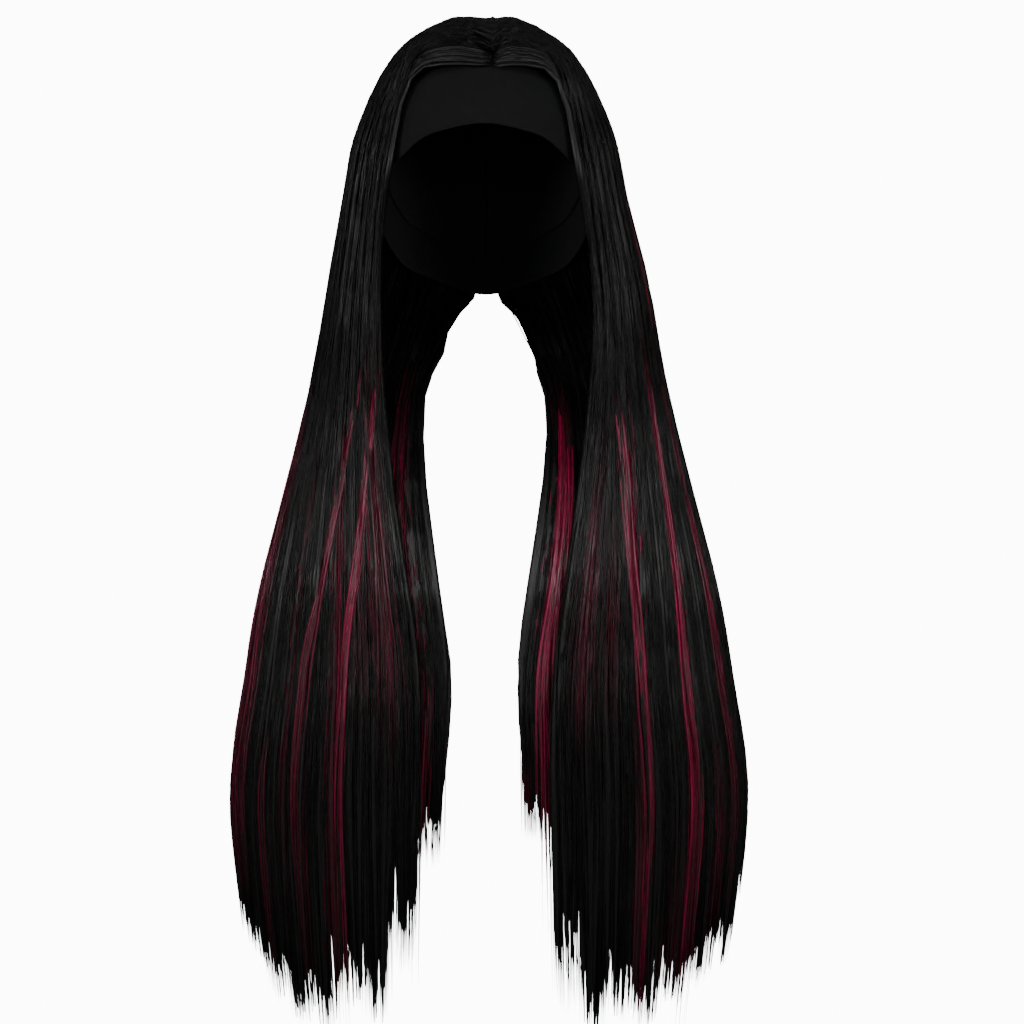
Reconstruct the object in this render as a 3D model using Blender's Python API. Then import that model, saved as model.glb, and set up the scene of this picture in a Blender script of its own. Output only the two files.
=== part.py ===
"""Half wig: a wide stretch headband, a close cap behind it and long straight hair.

The hair is sewn to the cap, parts in the middle, falls over the sides of the head, passes forward
over the shoulders and hangs in two long curtains. Burgundy locks lie between the black ones.
Metres, +Z up, the face looks along -Y. The origin is the inside of the cap at the crown.
"""
import math
from collections import namedtuple

import bmesh
import bpy
from mathutils import Vector

# Inside of the cap, which is the form of the head.
HEAD_HALF_BREADTH = 0.0765
HEAD_HALF_DEPTH = 0.0955
CROWN_RISE = 0.096
NAPE_RUN = 0.100
NAPE_TAPER = 0.12
PLAN_POWER = 2.3
RISE_POWER = 2.4

# Cap, sewn inside the upper edge of the headband.
CAP_WALL = 0.0015
CAP_UNDERLAP = 0.010
SEWN_GAP = 0.0003

# Headband, a closed ring that climbs from the nape to the forehead.
BAND_WALL = 0.0022
BAND_HEIGHT = 0.062
BAND_FRONT_DROP = 0.064
BAND_NAPE_DROP = 0.172

# Hair on the head: its height over the cap, the parting and the thickness of a fall.
HAIR_LIFT = 0.016
PARTING_HALF_GAP = 0.0003
PARTING_SHIFT = 0.006
ROOT_CLEARANCE = 0.0014
BAND_CLEARANCE = 0.0014
HAIR_WALL = 0.011
SEAM_GAP = 0.0005

# Hair below the head: how far it drops, comes forward and spreads to each side.
CHEST_DROP = 0.450
HAIR_DROP = 0.702
CHEST_FORWARD = 0.120
NECK_HALF_GAP = 0.047
CURTAIN_REACH_LEFT = 0.178
CURTAIN_REACH_RIGHT = 0.186

# Locks: the valleys between them, and the burgundy ones that lie in those valleys.
VALLEY_DEPTH = 0.0032
STREAK_GAP = 0.0006
STREAK_EDGE = 0.0008
STREAK_CROWN = 0.0018

# Gores of the cap, in quarters from the forehead round by the +X side.
CAP_GORES = ("cap_front_right", "cap_back_right", "cap_back_left", "cap_front_left")

# Facets round the ring of the band and of the cap, and down the cap.
RING_STEPS = 40
CAP_STEPS = 8
BAND_STEPS = 3

HAIR_BLACK = (0.010, 0.009, 0.010, 1.0)
HAIR_BURGUNDY = (0.170, 0.008, 0.040, 1.0)
BAND_BLACK = (0.011, 0.011, 0.013, 1.0)
CAP_BLACK = (0.016, 0.015, 0.017, 1.0)

# Headband, from the forehead (turn 0) to the nape (turn 1): how far its lower edge has fallen from
# its height at the forehead to that at the nape, and its upright height as a share of BAND_HEIGHT.
BandRow = namedtuple("BandRow", "turn fall height")
BAND_ROWS = (
    BandRow(0.00, 0.00, 0.72),
    BandRow(0.15, 0.07, 0.82),
    BandRow(0.29, 0.25, 1.00),
    BandRow(0.50, 0.50, 0.93),
    BandRow(0.75, 0.84, 0.72),
    BandRow(1.00, 1.00, 0.58),
)

# Sections of the hair from the parting to the tips. Each is drawn through the strand at the face,
# the strand at the side and the strand at the back, given as (out, back, up or drop).
Section = namedtuple("Section", "face side back wall")

# On the head: shares of the head's half breadth, half depth and crown rise, each with HAIR_LIFT
# added, measured from the middle of the head. The wall is a share of HAIR_WALL, or None where
# the hair is seated on the cap.
HEAD_SECTIONS = (
    Section((0.000, -0.560, 0.775), (0.000, -0.045, 1.010), (0.000, 0.905, 0.230), None),
    Section((0.250, -0.615, 0.850), (0.245, -0.036, 1.055), (0.020, 0.975, 0.060), None),
    Section((0.575, -0.570, 0.730), (0.700, 0.000, 0.825), (0.035, 1.000, -0.120), None),
    Section((0.700, -0.680, 0.143), (1.005, 0.054, 0.350), (0.060, 0.985, -0.390), 1.00),
    Section((0.765, -0.600, -0.190), (1.105, 0.108, -0.036), (0.135, 0.905, -0.670), 0.90),
)

# From the jaw to the chest: shares of the side's spread (the strand at the back: of NECK_HALF_GAP),
# of CHEST_FORWARD and of CHEST_DROP.
BODY_SECTIONS = (
    Section((0.420, -0.450, 0.400), (0.642, 0.110, 0.370), (0.720, 0.560, 0.475), 0.95),
    Section((0.416, -0.450, 0.522), (0.702, 0.030, 0.522), (1.000, 0.200, 0.560), 0.90),
    Section((0.378, -0.600, 0.667), (0.785, -0.240, 0.680), (0.980, -0.360, 0.695), 0.85),
    Section((0.308, -0.900, 0.856), (0.882, -0.620, 0.856), (0.770, -0.735, 0.856), 0.80),
    Section((0.264, -1.000, 1.000), (0.938, -0.750, 1.000), (0.580, -0.825, 1.000), 0.80),
)

# From the chest to the tips: the drop is a share of the way from CHEST_DROP to HAIR_DROP.
LENGTH_SECTIONS = (
    Section((0.254, -0.955, 0.380), (1.000, -0.750, 0.380), (0.610, -0.800, 0.380), 0.72),
    Section((0.275, -0.885, 1.000), (0.905, -0.700, 1.000), (0.680, -0.745, 1.000), 0.50),
)

# Locks of one fall, from its front edge: where the lock ends across the fall, and where its tip
# lies on the way from CHEST_DROP to HAIR_DROP.
Lock = namedtuple("Lock", "to tip")
LEFT_FRONT_LOCKS = (
    Lock(0.10, 0.80), Lock(0.20, 0.97), Lock(0.30, 0.91), Lock(0.41, 1.00), Lock(0.52, 0.94),
    Lock(0.63, 0.86), Lock(0.75, 0.78), Lock(0.87, 0.68), Lock(1.00, 0.71),
)
LEFT_BACK_LOCKS = (
    Lock(0.14, 0.64), Lock(0.28, 0.76), Lock(0.41, 0.88), Lock(0.53, 0.98), Lock(0.64, 0.91),
    Lock(0.74, 0.83), Lock(0.83, 0.71), Lock(0.92, 0.61), Lock(1.00, 0.54),
)
RIGHT_FRONT_LOCKS = (
    Lock(0.10, 0.92), Lock(0.20, 1.00), Lock(0.31, 0.95), Lock(0.42, 0.98), Lock(0.53, 0.88),
    Lock(0.64, 0.83), Lock(0.76, 0.74), Lock(0.88, 0.79), Lock(1.00, 0.62),
)
RIGHT_BACK_LOCKS = (
    Lock(0.14, 0.60), Lock(0.28, 0.74), Lock(0.41, 0.85), Lock(0.53, 0.90), Lock(0.64, 0.97),
    Lock(0.74, 0.86), Lock(0.83, 0.66), Lock(0.92, 0.55), Lock(1.00, 0.47),
)

# Burgundy locks: the side and fall they lie in, the valley (the lock before it), the face of the
# fall, and the sections between which they run.
Streak = namedtuple("Streak", "name side fall valley face start end")
STREAKS = (
    Streak("streak_left_cheek", "left", "front", 0, "outer", 6.3, 9.2),
    Streak("streak_left_bright", "left", "front", 2, "outer", 6.2, 10.75),
    Streak("streak_left_middle", "left", "front", 4, "outer", 6.4, 10.2),
    Streak("streak_left_low", "left", "front", 5, "outer", 9.6, 10.6),
    Streak("streak_left_edge", "left", "front", 7, "outer", 6.2, 10.15),
    Streak("streak_left_inner", "left", "back", 7, "inner", 9.0, 10.5),
    Streak("streak_right_bright", "right", "front", 2, "outer", 6.4, 10.85),
    Streak("streak_right_middle", "right", "front", 4, "outer", 5.7, 10.75),
    Streak("streak_right_edge", "right", "front", 6, "outer", 3.6, 10.2),
    Streak("streak_right_inner", "right", "back", 7, "inner", 6.2, 10.35),
    Streak("streak_right_cheek", "right", "front", 0, "outer", 7.4, 9.2),
)

# The locks stay joined down to this section, and below it each tapers to its own tip.
PARTED_SECTION = 10
STATION_STEP = 0.5
TAPER = ((0.38, 0.88), (0.72, 0.58))

SIDES = {"left": (-1.0, CURTAIN_REACH_LEFT), "right": (1.0, CURTAIN_REACH_RIGHT)}
LOCKS = {
    ("left", "front"): LEFT_FRONT_LOCKS,
    ("left", "back"): LEFT_BACK_LOCKS,
    ("right", "front"): RIGHT_FRONT_LOCKS,
    ("right", "back"): RIGHT_BACK_LOCKS,
}


def clear_scene():
    for obj in list(bpy.data.objects):
        bpy.data.objects.remove(obj, do_unlink=True)


def material(name, colour, roughness):
    made = bpy.data.materials.new(name)
    made.use_nodes = True
    shader = made.node_tree.nodes["Principled BSDF"]
    shader.inputs["Base Color"].default_value = colour
    shader.inputs["Roughness"].default_value = roughness
    shader.inputs["Metallic"].default_value = 0.0
    return made


def finish_object(name, bm, surface):
    """Turns a closed bmesh into a named object with its faces pointing out."""
    bmesh.ops.remove_doubles(bm, verts=bm.verts[:], dist=1e-6)
    bmesh.ops.recalc_face_normals(bm, faces=bm.faces[:])
    mesh = bpy.data.meshes.new(name)
    bm.to_mesh(mesh)
    bm.free()
    mesh.shade_smooth()
    mesh.set_sharp_from_angle(angle=math.radians(50))
    obj = bpy.data.objects.new(name, mesh)
    mesh.materials.append(surface)
    bpy.context.collection.objects.link(obj)
    return obj


def signed_power(value, power):
    return math.copysign(abs(value) ** power, value)


def head_point(turn, drop, stand):
    """Point on the head's form, `stand` outside it; turn is 0 at the forehead and pi at the nape."""
    if drop < CROWN_RISE:
        height = 1.0 - drop / CROWN_RISE
        girth = (1.0 - height ** RISE_POWER) ** (1.0 / RISE_POWER)
        z = -CROWN_RISE + height * (CROWN_RISE + stand)
    else:
        girth = nape_girth(drop)
        z = -drop
    x = (HEAD_HALF_BREADTH + stand) * girth * signed_power(math.sin(turn), 2.0 / PLAN_POWER)
    y = -(HEAD_HALF_DEPTH + stand) * girth * signed_power(math.cos(turn), 2.0 / PLAN_POWER)
    return Vector((x, y, z))


def nape_girth(drop):
    return 1.0 - NAPE_TAPER * ((drop - CROWN_RISE) / NAPE_RUN) ** 2


def cap_ratio(point, stand):
    """How far out a point lies: 1 on the head's form widened by `stand`, more outside it."""
    plan = (
        (abs(point.x) / (HEAD_HALF_BREADTH + stand)) ** PLAN_POWER
        + (abs(point.y) / (HEAD_HALF_DEPTH + stand)) ** PLAN_POWER
    ) ** (1.0 / PLAN_POWER)
    height = (point.z + CROWN_RISE) / (CROWN_RISE + stand)
    if height > 0.0:
        return (plan ** RISE_POWER + height ** RISE_POWER) ** (1.0 / RISE_POWER)
    return plan / nape_girth(-point.z)


def on_cap(point, stand):
    """The point moved along the ray from the head's middle onto the form widened by `stand`."""
    ratio = cap_ratio(point, stand)
    if point.z > -CROWN_RISE:
        middle = Vector((0.0, 0.0, -CROWN_RISE))
        return middle + (point - middle) / ratio
    return Vector((point.x / ratio, point.y / ratio, point.z))


def table_value(rows, key, column, at):
    """Smooth value of a column between the rows of a table."""
    for low, high in zip(rows, rows[1:]):
        left = getattr(low, key)
        right = getattr(high, key)
        if at <= right:
            share = (at - left) / (right - left)
            ease = share * share * (3.0 - 2.0 * share)
            mixed = 0.5 * (share + ease)
            return getattr(low, column) + mixed * (getattr(high, column) - getattr(low, column))
    return getattr(rows[-1], column)


def band_edges(turn):
    """Drops of the band's lower and upper edge at a turn round the head."""
    share = abs(math.remainder(turn, 2.0 * math.pi)) / math.pi
    fall = table_value(BAND_ROWS, "turn", "fall", share)
    low = BAND_FRONT_DROP + fall * (BAND_NAPE_DROP - BAND_FRONT_DROP)
    return low, low - table_value(BAND_ROWS, "turn", "height", share) * BAND_HEIGHT


def ring_surface(bm, rows):
    """Bridges rows of points that each go once round the head; returns the first and last row."""
    made = [[bm.verts.new(point) for point in row] for row in rows]
    for upper, lower in zip(made, made[1:]):
        join_rings(bm, upper, lower)
    return made[0], made[-1]


def join_rings(bm, first, second):
    for step in range(RING_STEPS):
        after = (step + 1) % RING_STEPS
        bm.faces.new((first[step], first[after], second[after], second[step]))


def ring_turns():
    return [2.0 * math.pi * step / RING_STEPS for step in range(RING_STEPS)]


def make_headband(surface):
    """The band's two faces share the cap's rim height, so their facets stay parallel there."""
    inside = CAP_WALL + SEWN_GAP
    bm = bmesh.new()
    faces = []
    for stand in (inside + BAND_WALL, inside):
        rows = []
        for level in range(BAND_STEPS + 2):
            row = []
            for turn in ring_turns():
                low, high = band_edges(turn)
                rim = high + CAP_UNDERLAP
                if level == 0:
                    drop = high
                else:
                    drop = rim + (level - 1) / BAND_STEPS * (low - rim)
                row.append(head_point(turn, drop, stand))
            rows.append(row)
        faces.append(ring_surface(bm, rows))
    join_rings(bm, faces[0][0], faces[1][0])
    join_rings(bm, faces[0][1], faces[1][1])
    return finish_object("headband", bm, surface)


def make_cap_gore(name, quarter, surface):
    """One of four gores of the cap, from the crown to the rim tucked inside the band."""
    steps = RING_STEPS // len(CAP_GORES)
    turns = [2.0 * math.pi * (quarter * steps + step) / RING_STEPS for step in range(steps + 1)]
    bm = bmesh.new()
    borders = []
    for stand in (CAP_WALL, 0.0):
        rows = []
        for level in range(1, CAP_STEPS + 2):
            row = []
            for turn in turns:
                high = band_edges(turn)[1]
                drop = polar_drop(polar_angle(high) * level / CAP_STEPS)
                if level > CAP_STEPS:
                    drop = high + CAP_UNDERLAP
                row.append(bm.verts.new(beside_seams(head_point(turn, drop, stand), quarter)))
            rows.append(row)
        crown = bm.verts.new(beside_seams(Vector((0.0, 0.0, stand)), quarter))
        for step in range(steps):
            bm.faces.new((crown, rows[0][step + 1], rows[0][step]))
            for upper, lower in zip(rows, rows[1:]):
                bm.faces.new((upper[step], upper[step + 1], lower[step + 1], lower[step]))
        down = [crown] + [row[0] for row in rows]
        up = [row[-1] for row in reversed(rows)]
        borders.append(down + rows[-1][1:-1] + up)
    for index in range(len(borders[0])):
        after = (index + 1) % len(borders[0])
        bm.faces.new((borders[0][index], borders[0][after], borders[1][after], borders[1][index]))
    return finish_object(name, bm, surface)


def beside_seams(point, quarter):
    """Keeps a gore's point half a seam away from the two upright planes where gores meet."""
    out = SEWN_GAP / 2.0
    across = 1.0 if quarter in (0, 1) else -1.0
    back = 1.0 if quarter in (1, 2) else -1.0
    return Vector((across * max(across * point.x, out), back * max(back * point.y, out), point.z))


def polar_angle(drop):
    """Angle from the crown, a right angle at the head's widest ring and more below it."""
    if drop < CROWN_RISE:
        return math.acos((1.0 - drop / CROWN_RISE) ** (RISE_POWER / 2.0))
    return math.pi / 2.0 * (1.0 + (drop - CROWN_RISE) / NAPE_RUN)


def polar_drop(angle):
    if angle < math.pi / 2.0:
        return CROWN_RISE * (1.0 - math.cos(angle) ** (2.0 / RISE_POWER))
    return CROWN_RISE + NAPE_RUN * (angle / (math.pi / 2.0) - 1.0)


def section_points(index, side):
    """Face, side and back strand of a section, outer and inner, with out counted from the middle."""
    spread = SIDES[side][1]
    if index < len(HEAD_SECTIONS):
        section = HEAD_SECTIONS[index]
        sizes = (HEAD_HALF_BREADTH + HAIR_LIFT, HEAD_HALF_DEPTH + HAIR_LIFT, CROWN_RISE + HAIR_LIFT)
        outer = [
            Vector((out * sizes[0], back * sizes[1], up * sizes[2] - CROWN_RISE))
            for out, back, up in section[:3]
        ]
        shift = -SIDES[side][0] * PARTING_SHIFT
        if index == 0:
            for point, slide in zip(outer, (shift, shift, 0.0)):
                point.x = PARTING_HALF_GAP - slide
    elif index < len(HEAD_SECTIONS) + len(BODY_SECTIONS):
        section = BODY_SECTIONS[index - len(HEAD_SECTIONS)]
        outer = body_strands(section, spread, lambda drop: drop * CHEST_DROP)
    else:
        section = LENGTH_SECTIONS[index - len(HEAD_SECTIONS) - len(BODY_SECTIONS)]
        outer = body_strands(section, spread, drop_below_chest)
    if section.wall is None:
        return outer, None
    wall = section.wall * HAIR_WALL
    steps = (Vector((0.0, wall, 0.0)), Vector((-wall, 0.0, 0.0)), Vector((0.0, -wall, 0.0)))
    return outer, [point + step for point, step in zip(outer, steps)]


def body_strands(section, spread, to_drop):
    outs = (spread, spread, NECK_HALF_GAP)
    return [
        Vector((share[0] * out, share[1] * CHEST_FORWARD, -to_drop(share[2])))
        for share, out in zip(section[:3], outs)
    ]


def drop_below_chest(share):
    return CHEST_DROP + share * (HAIR_DROP - CHEST_DROP)


def across(strands, fall, share):
    """Point across a section: a quarter arc from face to side, and another from side to back."""
    face, flank, back = strands
    angle = share * math.pi / 2.0
    if fall == "front":
        rise = math.sin(angle)
        return Vector((
            face.x + (flank.x - face.x) * rise,
            flank.y + (face.y - flank.y) * math.cos(angle),
            face.z + (flank.z - face.z) * rise,
        ))
    fade = math.cos(angle)
    return Vector((
        back.x + (flank.x - back.x) * fade,
        flank.y + (back.y - flank.y) * math.sin(angle),
        back.z + (flank.z - back.z) * fade,
    ))


SECTION_COUNT = len(HEAD_SECTIONS) + len(BODY_SECTIONS) + len(LENGTH_SECTIONS)
SECTIONS = {
    side: [section_points(index, side) for index in range(SECTION_COUNT)] for side in SIDES
}


def stand_over_head(at):
    """Clearance over the head's form: on the cap near the roots, over the band further down."""
    roots = CAP_WALL + ROOT_CLEARANCE
    band = CAP_WALL + SEWN_GAP + BAND_WALL + BAND_CLEARANCE
    return roots + (band - roots) * min(max(at - 1.0, 0.0), 1.0)


def flow(side, fall, share, at):
    """Outer and inner point of a fall: `share` across it, `at` sections down from the parting."""
    outers = []
    inners = []
    for index, (outer, inner) in enumerate(SECTIONS[side]):
        point = across(outer, fall, share)
        outers.append(point)
        if inner is None:
            inners.append(on_cap(point, stand_over_head(index)))
        else:
            inners.append(across(inner, fall, share))
    outer = along(outers, at)
    inner = along(inners, at)
    stand = stand_over_head(at)
    if at < len(HEAD_SECTIONS) and cap_ratio(inner, stand) < 1.0:
        inner = on_cap(inner, stand)
    hold = SEAM_GAP / 2.0
    if fall == "front" and share == 1.0:
        outer.y -= hold
        inner.y -= hold
    if fall == "back" and share == 0.0:
        outer.y += hold
        inner.y += hold
    sign = SIDES[side][0]
    return Vector((sign * outer.x, outer.y, outer.z)), Vector((sign * inner.x, inner.y, inner.z))


def along(points, at):
    """Catmull-Rom curve through the sections."""
    index = min(int(at), len(points) - 2)
    share = at - index
    before = points[max(index - 1, 0)]
    start = points[index]
    end = points[index + 1]
    after = points[min(index + 2, len(points) - 1)]
    return 0.5 * (
        2.0 * start
        + (end - before) * share
        + (2.0 * before - 5.0 * start + 4.0 * end - after) * share ** 2
        + (3.0 * start - before - 3.0 * end + after) * share ** 3
    )


def at_depth(side, fall, share, at, depth):
    """Point of a fall at a depth in metres under its outer face; below zero it stands proud."""
    outer, inner = flow(side, fall, share, at)
    return outer + (inner - outer).normalized() * depth


def tip_section(tip):
    """The section number at which a tip share of the way from chest to full length lies."""
    chest = len(HEAD_SECTIONS) + len(BODY_SECTIONS) - 1
    knee = LENGTH_SECTIONS[0].side[2]
    if tip < knee:
        return chest + tip / knee
    return chest + 1 + (tip - knee) / (1.0 - knee)


def lock_bounds(locks, index):
    start = locks[index - 1].to if index else 0.0
    return start, locks[index].to


def lock_section(side, fall, bounds, at, width):
    """Six corners of a lock: four on its rounded outer face and two on its inner face."""
    start, end = bounds
    span = end - start
    corners = [
        at_depth(side, fall, start, at, VALLEY_DEPTH),
        at_depth(side, fall, start + span / 3.0, at, 0.0),
        at_depth(side, fall, end - span / 3.0, at, 0.0),
        at_depth(side, fall, end, at, VALLEY_DEPTH),
        flow(side, fall, end, at)[1],
        flow(side, fall, start, at)[1],
    ]
    middle = lock_middle(side, fall, bounds, at)
    return [middle + (corner - middle) * width for corner in corners]


def lock_middle(side, fall, bounds, at):
    outer, inner = flow(side, fall, (bounds[0] + bounds[1]) / 2.0, at)
    return (outer + inner) / 2.0


def joined_stations():
    count = round(PARTED_SECTION / STATION_STEP)
    return [step * STATION_STEP for step in range(count + 1)]


def bridge(bm, first, second, edges):
    """Quads between two rings, on the named edges of the ring."""
    for edge in edges:
        after = (edge + 1) % len(first)
        bm.faces.new((first[edge], first[after], second[after], second[edge]))


def close_to_point(bm, ring, point):
    tip = bm.verts.new(point)
    for edge in range(len(ring)):
        bm.faces.new((ring[edge], ring[(edge + 1) % len(ring)], tip))


def make_fall(name, side, fall, surface):
    """One fall of hair: locks side by side, joined above and each tapering to a tip below."""
    locks = LOCKS[(side, fall)]
    outer_edges = (0, 1, 2)
    end_wall = 3
    inner_edge = 4
    start_wall = 5
    bm = bmesh.new()
    for index, lock in enumerate(locks):
        bounds = lock_bounds(locks, index)
        joined = [*outer_edges, inner_edge]
        if index == 0:
            joined.append(start_wall)
        if index == len(locks) - 1:
            joined.append(end_wall)
        rings = [
            [bm.verts.new(point) for point in lock_section(side, fall, bounds, at, 1.0)]
            for at in joined_stations()
        ]
        bm.faces.new(rings[0])
        for first, second in zip(rings, rings[1:]):
            bridge(bm, first, second, joined)
        tip = tip_section(lock.tip)
        last = rings[-1]
        for share, width in TAPER:
            at = PARTED_SECTION + share * (tip - PARTED_SECTION)
            ring = [bm.verts.new(p) for p in lock_section(side, fall, bounds, at, width)]
            bridge(bm, last, ring, range(len(ring)))
            last = ring
        close_to_point(bm, last, lock_middle(side, fall, bounds, tip))
    return finish_object(name, bm, surface)


def streak_section(streak, at, width):
    """Six corners of a burgundy lock that fills the valley between two black ones."""
    locks = LOCKS[(streak.side, streak.fall)]
    start, valley = lock_bounds(locks, streak.valley)
    end = locks[streak.valley + 1].to
    shares = (valley - (valley - start) / 3.0, valley, valley + (end - valley) / 3.0)
    if streak.face == "outer":
        under = (0.0, VALLEY_DEPTH, 0.0)
        top = [-STREAK_GAP - STREAK_EDGE, -STREAK_GAP - STREAK_CROWN, -STREAK_GAP - STREAK_EDGE]
        below = [depth - STREAK_GAP for depth in under]
        corners = [at_depth(streak.side, streak.fall, s, at, d) for s, d in zip(shares, top)]
        corners += [
            at_depth(streak.side, streak.fall, s, at, d)
            for s, d in zip(reversed(shares), reversed(below))
        ]
    else:
        walls = inner_face(streak, (start, valley, end), at)
        rises = (STREAK_EDGE, STREAK_CROWN, STREAK_EDGE)
        corners = [base + way * (STREAK_GAP + r) for (base, way), r in zip(walls, rises)]
        corners += [base + way * STREAK_GAP for base, way in reversed(walls)]
    middle = sum(corners, Vector()) / len(corners)
    return [middle + (corner - middle) * width for corner in corners]


def inner_face(streak, bounds, at):
    """Three points on the flat inner facets either side of a valley, with their inward ways."""
    ends = [flow(streak.side, streak.fall, share, at) for share in bounds]
    ways = [(inner - outer).normalized() for outer, inner in ends]
    before = ends[1][1] + (ends[0][1] - ends[1][1]) / 3.0
    after = ends[1][1] + (ends[2][1] - ends[1][1]) / 3.0
    return [(before, ways[1]), (ends[1][1], ways[1]), (after, ways[1])]


def make_streak(streak, surface):
    """A burgundy lock, pointed at both ends, on the same stations as the fall it lies in."""
    bm = bmesh.new()
    stations = [at for at in joined_stations() if at > streak.start + STATION_STEP / 4.0]
    if streak.end > PARTED_SECTION:
        stations += [
            PARTED_SECTION + share * (streak.end - PARTED_SECTION) for share, width in TAPER
        ]
    else:
        stations = [at for at in stations if at < streak.end - STATION_STEP / 4.0]
    widths = [1.0] * len(stations)
    widths[0] = 0.7
    widths[-1] = TAPER[-1][1]
    rings = [
        [bm.verts.new(point) for point in streak_section(streak, at, width)]
        for at, width in zip(stations, widths)
    ]
    for first, second in zip(rings, rings[1:]):
        bridge(bm, first, second, range(len(first)))
    for ring, at in ((rings[0], streak.start), (rings[-1], streak.end)):
        close_to_point(bm, ring, sum(streak_section(streak, at, 0.0), Vector()) / len(ring))
    return finish_object(streak.name, bm, surface)


clear_scene()
hair_black = material("hair_black", HAIR_BLACK, 0.36)
hair_burgundy = material("hair_burgundy", HAIR_BURGUNDY, 0.34)
make_headband(material("band_knit", BAND_BLACK, 0.85))
cap_fabric = material("cap_fabric", CAP_BLACK, 0.90)
for quarter_number, gore_name in enumerate(CAP_GORES):
    make_cap_gore(gore_name, quarter_number, cap_fabric)
for side_name, fall_name in LOCKS:
    make_fall(f"{fall_name}_fall_{side_name}", side_name, fall_name, hair_black)
for streak_row in STREAKS:
    make_streak(streak_row, hair_burgundy)
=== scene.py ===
import math

import bpy
import numpy as np
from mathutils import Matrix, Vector


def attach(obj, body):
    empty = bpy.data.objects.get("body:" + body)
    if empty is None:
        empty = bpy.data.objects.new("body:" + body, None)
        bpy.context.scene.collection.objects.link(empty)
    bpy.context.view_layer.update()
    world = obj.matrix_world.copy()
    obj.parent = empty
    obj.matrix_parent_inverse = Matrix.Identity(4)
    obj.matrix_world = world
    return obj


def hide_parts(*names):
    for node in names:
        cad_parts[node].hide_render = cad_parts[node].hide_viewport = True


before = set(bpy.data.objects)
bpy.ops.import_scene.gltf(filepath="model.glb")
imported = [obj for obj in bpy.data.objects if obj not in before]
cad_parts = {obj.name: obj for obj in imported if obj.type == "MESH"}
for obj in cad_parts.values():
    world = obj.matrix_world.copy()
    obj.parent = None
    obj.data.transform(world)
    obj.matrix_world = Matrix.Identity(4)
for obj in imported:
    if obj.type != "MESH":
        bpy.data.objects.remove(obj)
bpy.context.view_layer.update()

# Studio and camera
# The wig is seen level from the front, filling the picture from top to tips, before a plain
# white sweep. One millimetre of the hair's front is about 1.4 pixels of a 1024 pixel picture.
PIXEL = 0.00071
PICTURE = 1024
AXIS_PIXEL = 484
CROWN_PIXEL = 40
VIEW_DEPTH = -0.06
CAMERA_DISTANCE = 2.3
CAMERA_REACH = 30.0
SENSOR = 36.0
FLOOR_SIZE = 14.0
FLOOR_DROP = 0.735
WHITE = (1.0, 1.0, 1.0, 1.0)
PAPER_GREY = (0.12, 0.12, 0.12)
PAPER_ROUGHNESS = 0.9
MATTE_SPECULAR = 0.1
WHITE_TO_EYE = 12.0
AIR_LIGHT = 0.09

# Each lamp's place, the point that it is turned to, its size, its power and its spread in degrees.
LAMPS = {
    "key_light": ((-0.7, -1.55, 1.15), (0.0, 0.0, -0.56), 0.6, 0.55, 24.0),
    "side_light": ((0.9, -1.45, 1.15), (0.0, 0.0, -0.56), 0.6, 0.46, 24.0),
    "fill_light": ((0.1, -2.3, 0.0), (0.0, 0.0, -0.17), 0.8, 0.25, 30.0),
    "left_wing_light": ((-1.5, -1.7, -0.2), (0.0, 0.0, -0.10), 0.6, 0.43, 22.0),
    "right_wing_light": ((1.5, -1.7, -0.2), (0.0, 0.0, -0.10), 0.6, 0.35, 22.0),
    "top_light": ((-0.2, -0.9, 2.0), (0.0, 0.0, -0.05), 0.6, 1.0, 180.0),
    "back_light": ((0.3, 2.4, 0.5), (0.0, 0.0, -0.30), 0.9, 24.0, 180.0),
}

view_centre = Vector((
    (PICTURE / 2 - AXIS_PIXEL) * PIXEL,
    VIEW_DEPTH,
    -(PICTURE / 2 - CROWN_PIXEL) * PIXEL,
))
bpy.ops.object.camera_add(
    location=view_centre - Vector((0.0, CAMERA_DISTANCE, 0.0)), rotation=(math.pi / 2, 0.0, 0.0)
)
camera = bpy.context.object
camera.data.sensor_width = SENSOR
camera.data.lens = SENSOR * CAMERA_DISTANCE / (PICTURE * PIXEL)
camera.data.clip_end = CAMERA_REACH
bpy.context.scene.camera = camera


def plain_material(name, colour, roughness):
    made = bpy.data.materials.new(name)
    made.use_nodes = True
    shader = made.node_tree.nodes["Principled BSDF"]
    shader.inputs["Base Color"].default_value = (*colour, 1.0)
    shader.inputs["Roughness"].default_value = roughness
    shader.inputs["Specular IOR Level"].default_value = MATTE_SPECULAR
    return made


def bright_to_eye(tree):
    """Brightness of the sweep: white to the camera, and dim to all that it lights."""
    sight = tree.nodes.new("ShaderNodeLightPath")
    level = tree.nodes.new("ShaderNodeMix")
    level.inputs["A"].default_value = AIR_LIGHT
    level.inputs["B"].default_value = WHITE_TO_EYE
    tree.links.new(sight.outputs["Is Camera Ray"], level.inputs["Factor"])
    return level.outputs["Result"]


bpy.ops.mesh.primitive_plane_add(size=FLOOR_SIZE, location=(0.0, 0.0, -FLOOR_DROP))
floor = bpy.context.object
floor.name = "studio_floor"
paper = plain_material("studio_paper", PAPER_GREY, PAPER_ROUGHNESS)
paper_shader = paper.node_tree.nodes["Principled BSDF"]
paper_shader.inputs["Emission Color"].default_value = WHITE
paper.node_tree.links.new(bright_to_eye(paper.node_tree), paper_shader.inputs["Emission Strength"])
floor.data.materials.append(paper)

world = bpy.data.worlds.new("studio_air")
world.use_nodes = True
air = world.node_tree.nodes["Background"]
air.inputs["Color"].default_value = WHITE
world.node_tree.links.new(bright_to_eye(world.node_tree), air.inputs["Strength"])
bpy.context.scene.world = world

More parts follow.
